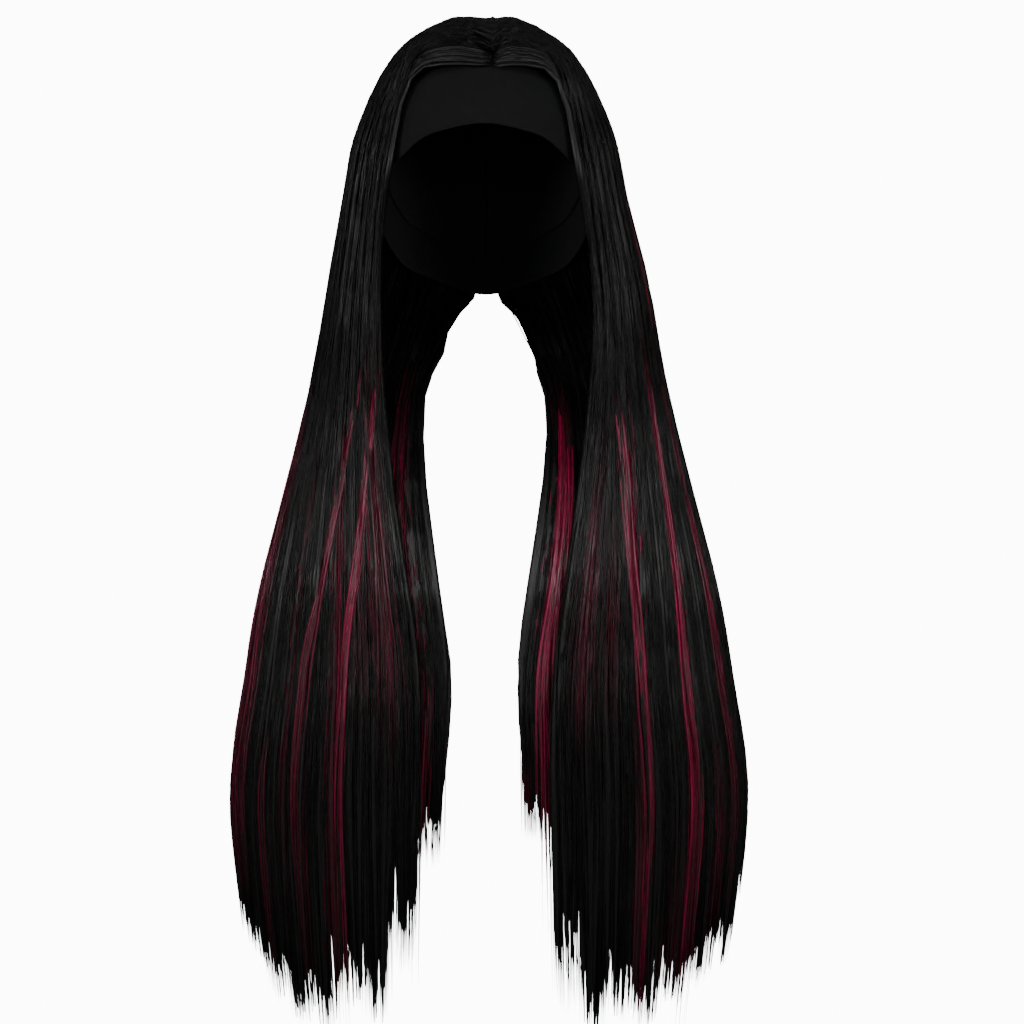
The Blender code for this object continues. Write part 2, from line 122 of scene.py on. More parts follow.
for name, (place, target, size, power, spread) in LAMPS.items():
    bpy.ops.object.light_add(type="AREA", location=place)
    lamp = bpy.context.object
    lamp.name = name
    lamp.data.size = size
    lamp.data.energy = power
    lamp.data.spread = math.radians(spread)
    aim = Vector(target) - Vector(place)
    lamp.rotation_euler = aim.to_track_quat("-Z", "Y").to_euler()

# Headband
# A wide band of fine stretch knit, sewn into a ring and pulled over the forehead and down to
# the nape. Its upper edge is stitched over the rim of the cap.
BAND_COLOUR = (0.0080, 0.0081, 0.0086)
BAND_ROUNDING = 2
RIB_SCALE = 900.0
RIB_RELIEF = 0.35
RIB_WAVER = 0.6
LOOPS_TO_RIBS = 0.8
KNIT_THICKNESS = 0.0004
KNIT_ROUGHNESS = 0.82
KNIT_FUZZ = 0.04
FUZZ_ROUGHNESS = 0.5
CLOUD_SCALE = 22.0
CLOUD_SHADES = (0.8, 1.3)
MERGE_DISTANCE = 1e-6
QUAD_ANGLE = math.radians(60)


def merged_copy(node, name, levels, swell=0.0):
    """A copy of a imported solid, merged into quads, rounded and moved out by `swell`."""
    bpy.ops.object.select_all(action="DESELECT")
    source = bpy.data.objects[node]
    copy = bpy.data.objects.new(name, source.data.copy())
    copy.data.transform(source.matrix_world)
    bpy.context.collection.objects.link(copy)
    bpy.context.view_layer.objects.active = copy
    copy.select_set(True)
    bpy.ops.object.mode_set(mode="EDIT")
    bpy.ops.mesh.select_all(action="SELECT")
    bpy.ops.mesh.remove_doubles(threshold=MERGE_DISTANCE)
    bpy.ops.mesh.tris_convert_to_quads(face_threshold=QUAD_ANGLE, shape_threshold=QUAD_ANGLE)
    bpy.ops.object.mode_set(mode="OBJECT")
    smooth = copy.modifiers.new("rounding", "SUBSURF")
    smooth.levels = levels
    smooth.render_levels = levels
    bpy.ops.object.modifier_apply(modifier=smooth.name)
    bpy.ops.object.shade_smooth()
    if swell:
        normals = np.empty(len(copy.data.vertices) * 3, dtype=np.float32)
        places = np.empty_like(normals)
        copy.data.vertex_normals.foreach_get("vector", normals)
        copy.data.vertices.foreach_get("co", places)
        copy.data.vertices.foreach_set("co", places + normals * swell)
        copy.data.update()
    copy.select_set(False)
    copy.data.materials.clear()
    return copy


def mixed_colours(tree, first, second):
    made = tree.nodes.new("ShaderNodeMix")
    made.data_type = "RGBA"
    made.inputs["A"].default_value = (*first, 1.0)
    made.inputs["B"].default_value = (*second, 1.0)
    return made


def knit_material(name, colour, scale, relief):
    """Matte knit: fine ribs crossed by rows of loops, with a soft fuzz at grazing angles."""
    made = plain_material(name, colour, KNIT_ROUGHNESS)
    tree = made.node_tree
    shader = tree.nodes["Principled BSDF"]
    shader.inputs["Sheen Weight"].default_value = KNIT_FUZZ
    shader.inputs["Sheen Roughness"].default_value = FUZZ_ROUGHNESS
    place = tree.nodes.new("ShaderNodeTexCoord")
    ribs = tree.nodes.new("ShaderNodeTexWave")
    ribs.inputs["Scale"].default_value = scale
    ribs.inputs["Distortion"].default_value = RIB_WAVER
    loops = tree.nodes.new("ShaderNodeTexNoise")
    loops.inputs["Scale"].default_value = scale * LOOPS_TO_RIBS
    stitches = tree.nodes.new("ShaderNodeMath")
    stitches.operation = "ADD"
    bump = tree.nodes.new("ShaderNodeBump")
    bump.inputs["Strength"].default_value = relief
    bump.inputs["Distance"].default_value = KNIT_THICKNESS
    cloud = tree.nodes.new("ShaderNodeTexNoise")
    cloud.inputs["Scale"].default_value = CLOUD_SCALE
    dark, light = ([share * part for part in colour] for share in CLOUD_SHADES)
    shade = mixed_colours(tree, dark, light)
    link = tree.links.new
    link(place.outputs["Object"], ribs.inputs["Vector"])
    link(place.outputs["Object"], loops.inputs["Vector"])
    link(place.outputs["Object"], cloud.inputs["Vector"])
    link(ribs.outputs["Fac"], stitches.inputs[0])
    link(loops.outputs["Fac"], stitches.inputs[1])
    link(stitches.outputs["Value"], bump.inputs["Height"])
    link(bump.outputs["Normal"], shader.inputs["Normal"])
    link(cloud.outputs["Fac"], shade.inputs["Factor"])
    link(shade.outputs["Result"], shader.inputs["Base Color"])
    return made


headband = merged_copy("headband", "headband_knit", BAND_ROUNDING)
headband.data.materials.append(knit_material("band_knit", BAND_COLOUR, RIB_SCALE, RIB_RELIEF))
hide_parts("headband")
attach(headband, "root")

# Cap
# A close dome of four gores of stretch net, seamed over the crown and at the sides. The hair is
# machine sewn to it in rows of wefts.
CAP_COLOUR = (0.010, 0.0095, 0.011)
CAP_ROUNDING = 1
NET_SCALE = 420.0
NET_RELIEF = 0.6
SEAM_SWELL = 0.0004

cap_net = knit_material("cap_fabric", CAP_COLOUR, NET_SCALE, NET_RELIEF)
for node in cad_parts:
    if node.startswith("cap_"):
        gore = merged_copy(node, f"{node}_net", CAP_ROUNDING, SEAM_SWELL)
        gore.data.materials.append(cap_net)
        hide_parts(node)
        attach(gore, "root")

# Bodies of the falls
# Straight black synthetic hair, machine sewn to the cap in wefts. It hangs in four dense bodies,
# a front and a back one on each side, each drawn in a little beneath the wisps that lie over it.
FALLS = (("left", "front"), ("left", "back"), ("right", "front"), ("right", "back"))
BLACK_DEEP = (0.0004, 0.0004, 0.0004)
BLACK_LIT = (0.0050, 0.0046, 0.0042)
BLACK_LINES = 700.0
BURGUNDY_DEEP = (0.040, 0.0004, 0.006)
BURGUNDY_LIT = (0.440, 0.006, 0.076)
HAIR_SPECULAR = 0.36
DULLEST_HAIR = 0.48
GLOSSIEST_HAIR = 0.30
HAIR_RELIEF = 0.5
HAIR_THICKNESS = 0.0006
LINE_STRETCH = (1.0, 0.02, 1.0)
LINE_DETAIL = 3.0
LINE_ROUGHNESS = 0.65
DARK_LINE = 0.32
LIGHT_LINE = 0.70
CORE_ROUNDING = 1
CORE_INSET = 0.0012
CORE_LOW = -0.520
CORE_SHRINK = 0.12
CORE_LEAN = 0.047


def hair_lines_group():
    """Fine lines along a hair's own UV map, which runs across it and down it in metres."""
    group = bpy.data.node_groups.new("hair_lines", "ShaderNodeTree")
    sockets = group.interface
    sockets.new_socket("Place", in_out="INPUT", socket_type="NodeSocketVector")
    sockets.new_socket("Fineness", in_out="INPUT", socket_type="NodeSocketFloat")
    sockets.new_socket("Lines", in_out="OUTPUT", socket_type="NodeSocketFloat")
    sockets.new_socket("Height", in_out="OUTPUT", socket_type="NodeSocketFloat")
    given = group.nodes.new("NodeGroupInput")
    result = group.nodes.new("NodeGroupOutput")
    stretch = group.nodes.new("ShaderNodeVectorMath")
    stretch.operation = "MULTIPLY"
    stretch.inputs[1].default_value = LINE_STRETCH
    size = group.nodes.new("ShaderNodeVectorMath")
    size.operation = "SCALE"
    noise = group.nodes.new("ShaderNodeTexNoise")
    noise.noise_dimensions = "2D"
    noise.inputs["Scale"].default_value = 1.0
    noise.inputs["Detail"].default_value = LINE_DETAIL
    noise.inputs["Roughness"].default_value = LINE_ROUGHNESS
    contrast = group.nodes.new("ShaderNodeMapRange")
    contrast.inputs["From Min"].default_value = DARK_LINE
    contrast.inputs["From Max"].default_value = LIGHT_LINE
    link = group.links.new
    link(given.outputs["Place"], stretch.inputs[0])
    link(stretch.outputs["Vector"], size.inputs[0])
    link(given.outputs["Fineness"], size.inputs["Scale"])
    link(size.outputs["Vector"], noise.inputs["Vector"])
    link(noise.outputs["Fac"], contrast.inputs["Value"])
    link(contrast.outputs["Result"], result.inputs["Lines"])
    link(noise.outputs["Fac"], result.inputs["Height"])
    return group


def hair_material(name, fineness):
    """Satin hair, black to burgundy with its dye, each hair in its own tint with finer lines."""
    made = bpy.data.materials.new(name)
    made.use_nodes = True
    tree = made.node_tree
    shader = tree.nodes["Principled BSDF"]
    shader.inputs["Specular IOR Level"].default_value = HAIR_SPECULAR
    dye = tree.nodes.new("ShaderNodeAttribute")
    dye.attribute_name = "dye"
    tint = tree.nodes.new("ShaderNodeAttribute")
    tint.attribute_name = "tint"
    gloss = tree.nodes.new("ShaderNodeMapRange")
    gloss.inputs["To Min"].default_value = DULLEST_HAIR
    gloss.inputs["To Max"].default_value = GLOSSIEST_HAIR
    place = tree.nodes.new("ShaderNodeUVMap")
    place.uv_map = "UVMap"
    lines = tree.nodes.new("ShaderNodeGroup")
    lines.node_tree = hair_lines
    lines.inputs["Fineness"].default_value = fineness
    shade = tree.nodes.new("ShaderNodeMath")
    shade.operation = "MULTIPLY"
    black = mixed_colours(tree, BLACK_DEEP, BLACK_LIT)
    burgundy = mixed_colours(tree, BURGUNDY_DEEP, BURGUNDY_LIT)
    dyed = mixed_colours(tree, BLACK_DEEP, BURGUNDY_DEEP)
    bump = tree.nodes.new("ShaderNodeBump")
    bump.inputs["Strength"].default_value = HAIR_RELIEF
    bump.inputs["Distance"].default_value = HAIR_THICKNESS
    link = tree.links.new
    link(place.outputs["UV"], lines.inputs["Place"])
    link(lines.outputs["Lines"], shade.inputs[0])
    link(tint.outputs["Fac"], shade.inputs[1])
    link(tint.outputs["Fac"], gloss.inputs["Value"])
    link(gloss.outputs["Result"], shader.inputs["Roughness"])
    link(shade.outputs["Value"], black.inputs["Factor"])
    link(shade.outputs["Value"], burgundy.inputs["Factor"])
    link(dye.outputs["Fac"], dyed.inputs["Factor"])
    link(black.outputs["Result"], dyed.inputs["A"])
    link(burgundy.outputs["Result"], dyed.inputs["B"])
    link(dyed.outputs["Result"], shader.inputs["Base Color"])
    link(lines.outputs["Height"], bump.inputs["Height"])
    link(bump.outputs["Normal"], shader.inputs["Normal"])
    return made


def dress_hair(piece, material):
    piece.data.materials.append(material)
    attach(piece, "root")


hair_lines = hair_lines_group()
hair_black = hair_material("hair_black", BLACK_LINES)

for side, fall in FALLS:
    node = f"{fall}_fall_{side}"
    core = merged_copy(node, f"{fall}_core_{side}", CORE_ROUNDING, -CORE_INSET)
    for point in core.data.vertices:
        if point.co.z < CORE_LOW:
            rise = (CORE_LOW - point.co.z) * (1.0 - CORE_SHRINK)
            point.co.z += rise
            point.co.y -= rise * CORE_LEAN
    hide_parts(node)
    dress_hair(core, hair_black)

# Locks and loose strands of the falls
# The same synthetic hair, sewn in at the parting and the crown and left loose. It lies in flat
# wisps side by side, with single strands over them, and passes forward in two curtains.
HEAD_HALF_BREADTH = 0.0765
HEAD_HALF_DEPTH = 0.0955
CROWN_RISE = 0.096
NAPE_RUN = 0.100
NAPE_TAPER = 0.12
PLAN_POWER = 2.3
RISE_POWER = 2.4
HAIR_LIFT = 0.016
PARTING_HALF_GAP = 0.0003
PARTING_SHIFT = 0.006
ROOT_STAND = 0.0029
BAND_STAND = 0.0054
HAIR_WALL = 0.011
CHEST_DROP = 0.450
HAIR_DROP = 0.702
CHEST_FORWARD = 0.120
NECK_HALF_GAP = 0.047
SPREAD = {"left": 0.178, "right": 0.186}
SIGN = {"left": -1.0, "right": 1.0}
VALLEY_DEPTH = 0.0032
VALLEY_SLOPE = 3.0
SHARE_STEP = 0.004
TURN = 6.28
TINY = 1e-12

# Each section is drawn through the strands at the face, the side and the back. Their places are
# (out, back, up) as shares of the head, and (out, back, down) as shares of the drop below it.
# A row ends with the thickness of the hair there, as a share of HAIR_WALL. Where that is None, the
# hair lies on the head and the cap sets its inner face.
HEAD_SECTIONS = (
    ((0.000, -0.560, 0.775), (0.000, -0.045, 1.010), (0.000, 0.905, 0.230), None),
    ((0.250, -0.615, 0.850), (0.245, -0.036, 1.055), (0.020, 0.975, 0.060), None),
    ((0.575, -0.570, 0.730), (0.700, 0.000, 0.825), (0.035, 1.000, -0.120), None),
    ((0.700, -0.680, 0.143), (1.005, 0.054, 0.350), (0.060, 0.985, -0.390), 1.00),
    ((0.765, -0.600, -0.190), (1.105, 0.108, -0.036), (0.135, 0.905, -0.670), 0.90),
)
BODY_SECTIONS = (
    ((0.420, -0.450, 0.400), (0.642, 0.110, 0.370), (0.720, 0.560, 0.475), 0.95),
    ((0.416, -0.450, 0.522), (0.702, 0.030, 0.522), (1.000, 0.200, 0.560), 0.90),
    ((0.378, -0.600, 0.667), (0.785, -0.240, 0.680), (0.980, -0.360, 0.695), 0.85),
    ((0.308, -0.900, 0.856), (0.882, -0.620, 0.856), (0.770, -0.735, 0.856), 0.80),
    ((0.264, -1.000, 1.000), (0.938, -0.750, 1.000), (0.580, -0.825, 1.000), 0.80),
)
LENGTH_SECTIONS = (
    ((0.254, -0.955, 0.380), (1.000, -0.750, 0.380), (0.610, -0.800, 0.380), 0.72),
    ((0.275, -0.885, 1.000), (0.905, -0.700, 1.000), (0.680, -0.745, 1.000), 0.50),
)
CHEST_SECTION = 9
KNEE_SECTION = 10
KNEE = 0.380

# Where each lock ends across its fall, and how far its tip reaches from the chest down.
LOCKS = {
    ("left", "front"): (
        (0.10, 0.80), (0.20, 0.97), (0.30, 0.91), (0.41, 1.00), (0.52, 0.94),
        (0.63, 0.86), (0.75, 0.78), (0.87, 0.68), (1.00, 0.71),
    ),
    ("left", "back"): (
        (0.14, 0.64), (0.28, 0.76), (0.41, 0.88), (0.53, 0.98), (0.64, 0.91),
        (0.74, 0.83), (0.83, 0.71), (0.92, 0.61), (1.00, 0.54),
    ),
    ("right", "front"): (
        (0.10, 0.92), (0.20, 1.00), (0.31, 0.95), (0.42, 0.98), (0.53, 0.88),
        (0.64, 0.83), (0.76, 0.74), (0.88, 0.79), (1.00, 0.62),
    ),
    ("right", "back"): (
        (0.14, 0.60), (0.28, 0.74), (0.41, 0.85), (0.53, 0.90), (0.64, 0.97),
        (0.74, 0.86), (0.83, 0.66), (0.92, 0.55), (1.00, 0.47),
    ),
}

# Dyed strands: the share across the fall, the half width, the sections where the dye begins and
# ends, and its strength, for each burgundy streak and for the fainter threads beside them.
DYE = {
    ("left", "front"): (
        (0.10, 0.070, 6.0, 9.6, 0.55), (0.20, 0.060, 7.4, 9.4, 0.32), (0.30, 0.045, 6.6, 11.0, 0.90),
        (0.44, 0.025, 9.6, 11.0, 0.45), (0.52, 0.030, 6.8, 10.3, 0.60), (0.63, 0.040, 9.4, 11.0, 0.50),
        (0.86, 0.140, 6.0, 10.5, 0.60),
    ),
    ("left", "back"): (
        (0.05, 0.050, 6.0, 10.5, 0.50), (0.84, 0.040, 9.0, 10.6, 0.40),
        (0.89, 0.070, 5.8, 9.4, 0.80), (0.92, 0.045, 8.8, 10.7, 0.90),
    ),
    ("right", "front"): (
        (0.10, 0.060, 6.8, 9.6, 0.50), (0.20, 0.050, 7.4, 9.4, 0.38), (0.31, 0.040, 6.4, 11.0, 0.90),
        (0.46, 0.100, 10.2, 11.6, 0.80), (0.53, 0.050, 5.7, 11.0, 1.00), (0.66, 0.040, 9.4, 11.0, 0.70),
        (0.76, 0.055, 3.6, 10.4, 0.70),
    ),
    ("right", "back"): ((0.92, 0.060, 6.0, 10.6, 1.00), (0.99, 0.030, 9.6, 10.6, 0.90)),
}
DYE_RISE = 0.9
DYE_FADE = 0.7
DYE_RAGGED = 0.9

# How a hair opens at its root and closes at its tip, how its rings crowd towards the tip, and how
# it rises out of the parting.
ROOT_WIDTH = 0.08
ROOT_CURVE = 0.6
TIP_WIDTH = 0.03
TIP_CURVE = 0.75
TIPWARD = 1.4
GIRTH_TO_WIDTH = 2.2
PARTED_TO = 0.7
PARTED_FADE = 0.4
PARTED_SECTIONS = 0.16
PARTED_CURVE = 0.7
GATHER_SECTION = 9.2
GATHER_CURVE = 1.3

# Wisps of the locks: count, rings, sides, face and thickness of each set, then how far their tips
# fall short, how they sway, and how they close to common tips.
OUTER_LOCKS = (48, 24, 8, "outer", 0.0038)
INNER_LOCKS = (40, 20, 8, "inner", 0.0030)
WISPS_TOGETHER = 4
WISP_JITTER = 0.5
LOCK_SIDE_LACK = 0.08
LOCK_LACK = 0.14
WISP_LACK = 0.08
LACK_CURVE = 1.5
EDGE_SHARE = 0.14
EDGE_LACK = 0.26
EDGE_APART = 0.6
CLOSENESS = 0.55
LOCK_SWAY = 0.35
LOCK_SWAY_PACE = 1.3
LOCK_OPENING = 0.25
LOCK_CLOSING = 0.9
LOCK_CLOSING_VARIES = 0.5
LOCK_OVERLAP = 1.9
THICKEST_IN_WALL = 0.42
LOCK_END_CURVE = 0.6
LOCK_LIE = 0.0012
INNER_LIE = 0.0005
LOCK_ROOT_DEPTH = 0.85
LOCK_TIP_DEPTH = 0.35
LOCK_UNEVEN = 0.24
LOCK_DYE = 0.45
LOCK_DYE_CHANCE = 0.3
LOCK_TINT = 0.6

# Layers of strands: how many, their rings, the sections where they start and stop (None: at the
# tips), their depths below the locks, and their widths.
INNER_STRANDS = {"front": 200, "back": 400}
INNER_LAYER = (12, (1.5, 7.0), None, (-0.0004, 0.0006), (0.0006, 0.0012))
OUTER_LAYERS = (
    (300, 18, (0.0, 0.2), None, (-0.0006, 0.0006), (0.0006, 0.0012)),
    (350, 12, (0.0, 1.2), (3.0, 7.0), (-0.0006, 0.0006), (0.0006, 0.0011)),
    (700, 12, (3.0, 8.0), None, (-0.0008, 0.0010), (0.0005, 0.0011)),
    (700, 8, (8.4, 9.8), None, (0.0010, 0.0085), (0.0005, 0.0012)),
)
STRAND_SIDE_LACK = 0.10
STRAND_LEAST_LACK = 0.03
STRAND_LACK = 0.38
STRAND_LACK_CURVE = 1.3
STRAND_GATHER_RUN = 1.6
STRAND_SWAY = 0.007
STRAND_SWAY_PACE = 0.8
STRAND_LEAN = 0.03
STRAND_ROOT_DEPTH = 0.8
STRAND_TIP_DEPTH = 0.6
STRAND_OPENING = 0.35
STRAND_CLOSING = 0.45
STRAND_FLATNESS = 0.7
STRAND_TINT_CURVE = 1.5

random = np.random.default_rng(11)


def between(limits, chance):
    return limits[0] + (limits[1] - limits[0]) * chance


def nape_girth(drop):
    return 1.0 - NAPE_TAPER * ((drop - CROWN_RISE) / NAPE_RUN) ** 2


def cap_ratio(points, stand):
    """How far out points lie from the head's form widened by `stand`: more than 1 is outside."""
    plan = (
        (np.abs(points[..., 0]) / (HEAD_HALF_BREADTH + stand)) ** PLAN_POWER
        + (np.abs(points[..., 1]) / (HEAD_HALF_DEPTH + stand)) ** PLAN_POWER
    ) ** (1.0 / PLAN_POWER)
    height = np.clip((points[..., 2] + CROWN_RISE) / (CROWN_RISE + stand), 0.0, None)
    above = (plan ** RISE_POWER + height ** RISE_POWER) ** (1.0 / RISE_POWER)
    below = plan / nape_girth(np.clip(-points[..., 2], CROWN_RISE, CROWN_RISE + NAPE_RUN))
    return np.where(points[..., 2] > -CROWN_RISE, above, below)


def on_cap(points, stand):
    """The points moved along rays from the head's middle onto the form widened by `stand`."""
    ratio = cap_ratio(points, stand)[..., None]
    middle = np.array((0.0, 0.0, -CROWN_RISE))
    above = middle + (points - middle) / ratio
    below = np.concatenate((points[..., :2] / ratio, points[..., 2:]), axis=-1)
    return np.where(points[..., 2:] > -CROWN_RISE, above, below)


def stand_over_head(at):
    return ROOT_STAND + (BAND_STAND - ROOT_STAND) * np.clip(at - 1.0, 0.0, 1.0)


def section_strands(side):
    """Face, side and back strand of every section, outer and inner."""
    made = []
    head = np.array((HEAD_HALF_BREADTH + HAIR_LIFT, HEAD_HALF_DEPTH + HAIR_LIFT, CROWN_RISE + HAIR_LIFT))
    outs = np.array((SPREAD[side], SPREAD[side], NECK_HALF_GAP))
    for index, row in enumerate(HEAD_SECTIONS):
        outer = np.array(row[:3]) * head - np.array((0.0, 0.0, CROWN_RISE))
        if index == 0:
            outer[:, 0] = PARTING_HALF_GAP
            outer[:2, 0] += SIGN[side] * PARTING_SHIFT
        made.append((outer, row[3]))
    for row in BODY_SECTIONS + LENGTH_SECTIONS:
        outer = np.array(row[:3])
        outer[:, 0] *= outs
        outer[:, 1] *= CHEST_FORWARD
        if row in LENGTH_SECTIONS:
            outer[:, 2] = -(CHEST_DROP + outer[:, 2] * (HAIR_DROP - CHEST_DROP))
        else:
            outer[:, 2] *= -CHEST_DROP
        made.append((outer, row[3]))
    inward = np.array(((0.0, 1.0, 0.0), (-1.0, 0.0, 0.0), (0.0, -1.0, 0.0)))
    return [(o, None if w is None else o + inward * w * HAIR_WALL) for o, w in made]


def across(strands, fall, share):
    """Points across a section: a quarter arc from face to side, another from side to back."""
    angle = share[..., None] * math.pi / 2
    end = strands[0] if fall == "front" else strands[2]
    flank = strands[1]
    rise = np.sin(angle) if fall == "front" else np.cos(angle)
    fade = np.cos(angle) if fall == "front" else np.sin(angle)
    return np.concatenate((
        end[0] + (flank[0] - end[0]) * rise,
        flank[1] + (end[1] - flank[1]) * fade,
        end[2] + (flank[2] - end[2]) * rise,
    ), axis=-1)


def along(grid, at):
    """Catmull-Rom curve through the sections: grid is sections x hairs x rings x 3."""
    last = len(grid) - 1
    index = np.clip(at.astype(int), 0, last - 1)
    share = (at - index)[..., None]
    before, start, end, after = (
        np.take_along_axis(grid, np.clip(index + step, 0, last)[None, ..., None], axis=0)[0]
        for step in (-1, 0, 1, 2)
    )
    return 0.5 * (
        2.0 * start + (end - before) * share
        + (2.0 * before - 5.0 * start + 4.0 * end - after) * share ** 2
        + (3.0 * start - before - 3.0 * end + after) * share ** 3
    )


def flow(side, fall, share, at):
    """Outer and inner points of a fall at `share` across it and `at` sections down."""
    outers = []
    inners = []
    for index, (outer, inner) in enumerate(section_strands(side)):
        points = across(outer, fall, share)
        outers.append(points)
        if inner is None:
            inners.append(on_cap(points, stand_over_head(index)))
        else:
            inners.append(across(inner, fall, share))
    outer = along(np.array(outers), at)
    inner = along(np.array(inners), at)
    stand = stand_over_head(at)
    near = (at < len(HEAD_SECTIONS)) & (cap_ratio(inner, stand) < 1.0)
    inner = np.where(near[..., None], on_cap(inner, stand), inner)
    mirror = np.array((SIGN[side], 1.0, 1.0))
    return outer * mirror, inner * mirror


def tip_section(reach):
    """The section, with its fraction, at which a lock of this reach ends."""
    return np.where(
        reach < KNEE, CHEST_SECTION + reach / KNEE, KNEE_SECTION + (reach - KNEE) / (1 - KNEE)
    )


def lock_of(side, fall, share):
    """The lock at each share: where it starts and ends across the fall, and its reach."""
    ends = np.array([0.0] + [lock[0] for lock in LOCKS[(side, fall)]])
    reaches = np.array([lock[1] for lock in LOCKS[(side, fall)]])
    index = np.clip(np.searchsorted(ends, share, side="right") - 1, 0, len(reaches) - 1)
    return ends[index], ends[index + 1], reaches[index]


def valley(side, fall, share):
    """Depth of the surface under the crowns of the locks."""
    start, end, _ = lock_of(side, fall, share)
    within = (share - start) / (end - start)
    return VALLEY_DEPTH * np.clip(1.0 - VALLEY_SLOPE * np.minimum(within, 1.0 - within), 0.0, 1.0)


def place_in_lock(side, fall, share):
    """Distance of each share from the middle of its lock (0 to 1), and that lock's tip."""
    start, end, reach = lock_of(side, fall, share)
    off = np.abs(share - (start + end) / 2) / (end - start) * 2
    return off, tip_section(reach)


def wisp_paths(side, fall, share, at):
    """Outer points, inward directions, wall and width of a unit of share along each hair."""
    outer, inner = flow(side, fall, share, at)
    inward = inner - outer
    wall = np.linalg.norm(inward, axis=-1)
    inward = inward / wall[..., None]
    beside = flow(side, fall, share + SHARE_STEP, at)[0] - flow(side, fall, share - SHARE_STEP, at)[0]
    breadth = np.linalg.norm(beside, axis=-1) / (2.0 * SHARE_STEP)
    return outer, inward, wall, breadth


def dye_amount(side, fall, share, at, chance):
    """How burgundy each point of each strand is, with a ragged edge to every streak."""
    total = np.zeros_like(at)
    for centre, half, start, end, strength in DYE[(side, fall)]:
        reach = 1.0 - np.abs(share - centre) / half
        inside = (reach[:, None] > DYE_RAGGED * chance[:, None]) & (reach[:, None] > 0.0)
        rise = np.clip((at - start) / DYE_RISE, 0.0, 1.0) * np.clip((end - at) / DYE_FADE, 0.0, 1.0)
        total = np.maximum(total, inside * rise * strength)
    return total


def rounded_ends(at, start, tip, opening, closing):
    """Share of full width along each hair: it opens from its root and closes to its pointed tip."""
    rise = np.clip((at - start[:, None]) / opening, 0.0, 1.0)
    fall = np.clip((tip[:, None] - at) / closing, 0.0, 1.0)
    return np.maximum(rise, ROOT_WIDTH) ** ROOT_CURVE * np.maximum(fall, TIP_WIDTH) ** TIP_CURVE


def stations(start, tip, rings):
    """Sections along each hair, closer together towards the tip."""
    ring = 1.0 - (1.0 - np.linspace(0.0, 1.0, rings)) ** TIPWARD
    return start[:, None] + (tip - start)[:, None] * ring


def parted(fall, share, at):
    """Rise of a hair from its root at the parting, which opens only over the forehead: 0 to 1."""
    opening = np.clip((PARTED_TO - share) / PARTED_FADE, 0.0, 1.0) * (fall == "front")
    risen = np.clip(at / PARTED_SECTIONS, 0.0, 1.0) ** PARTED_CURVE
    return 1.0 - opening[:, None] * (1.0 - risen)


def bundle(centre, inward, width, thick, profile, dye, tint):
    return {
        "centre": centre, "inward": inward, "width": width, "thick": thick, "profile": profile,
        "dye": dye, "tint": tint, "shift": random.random(len(centre)),
    }


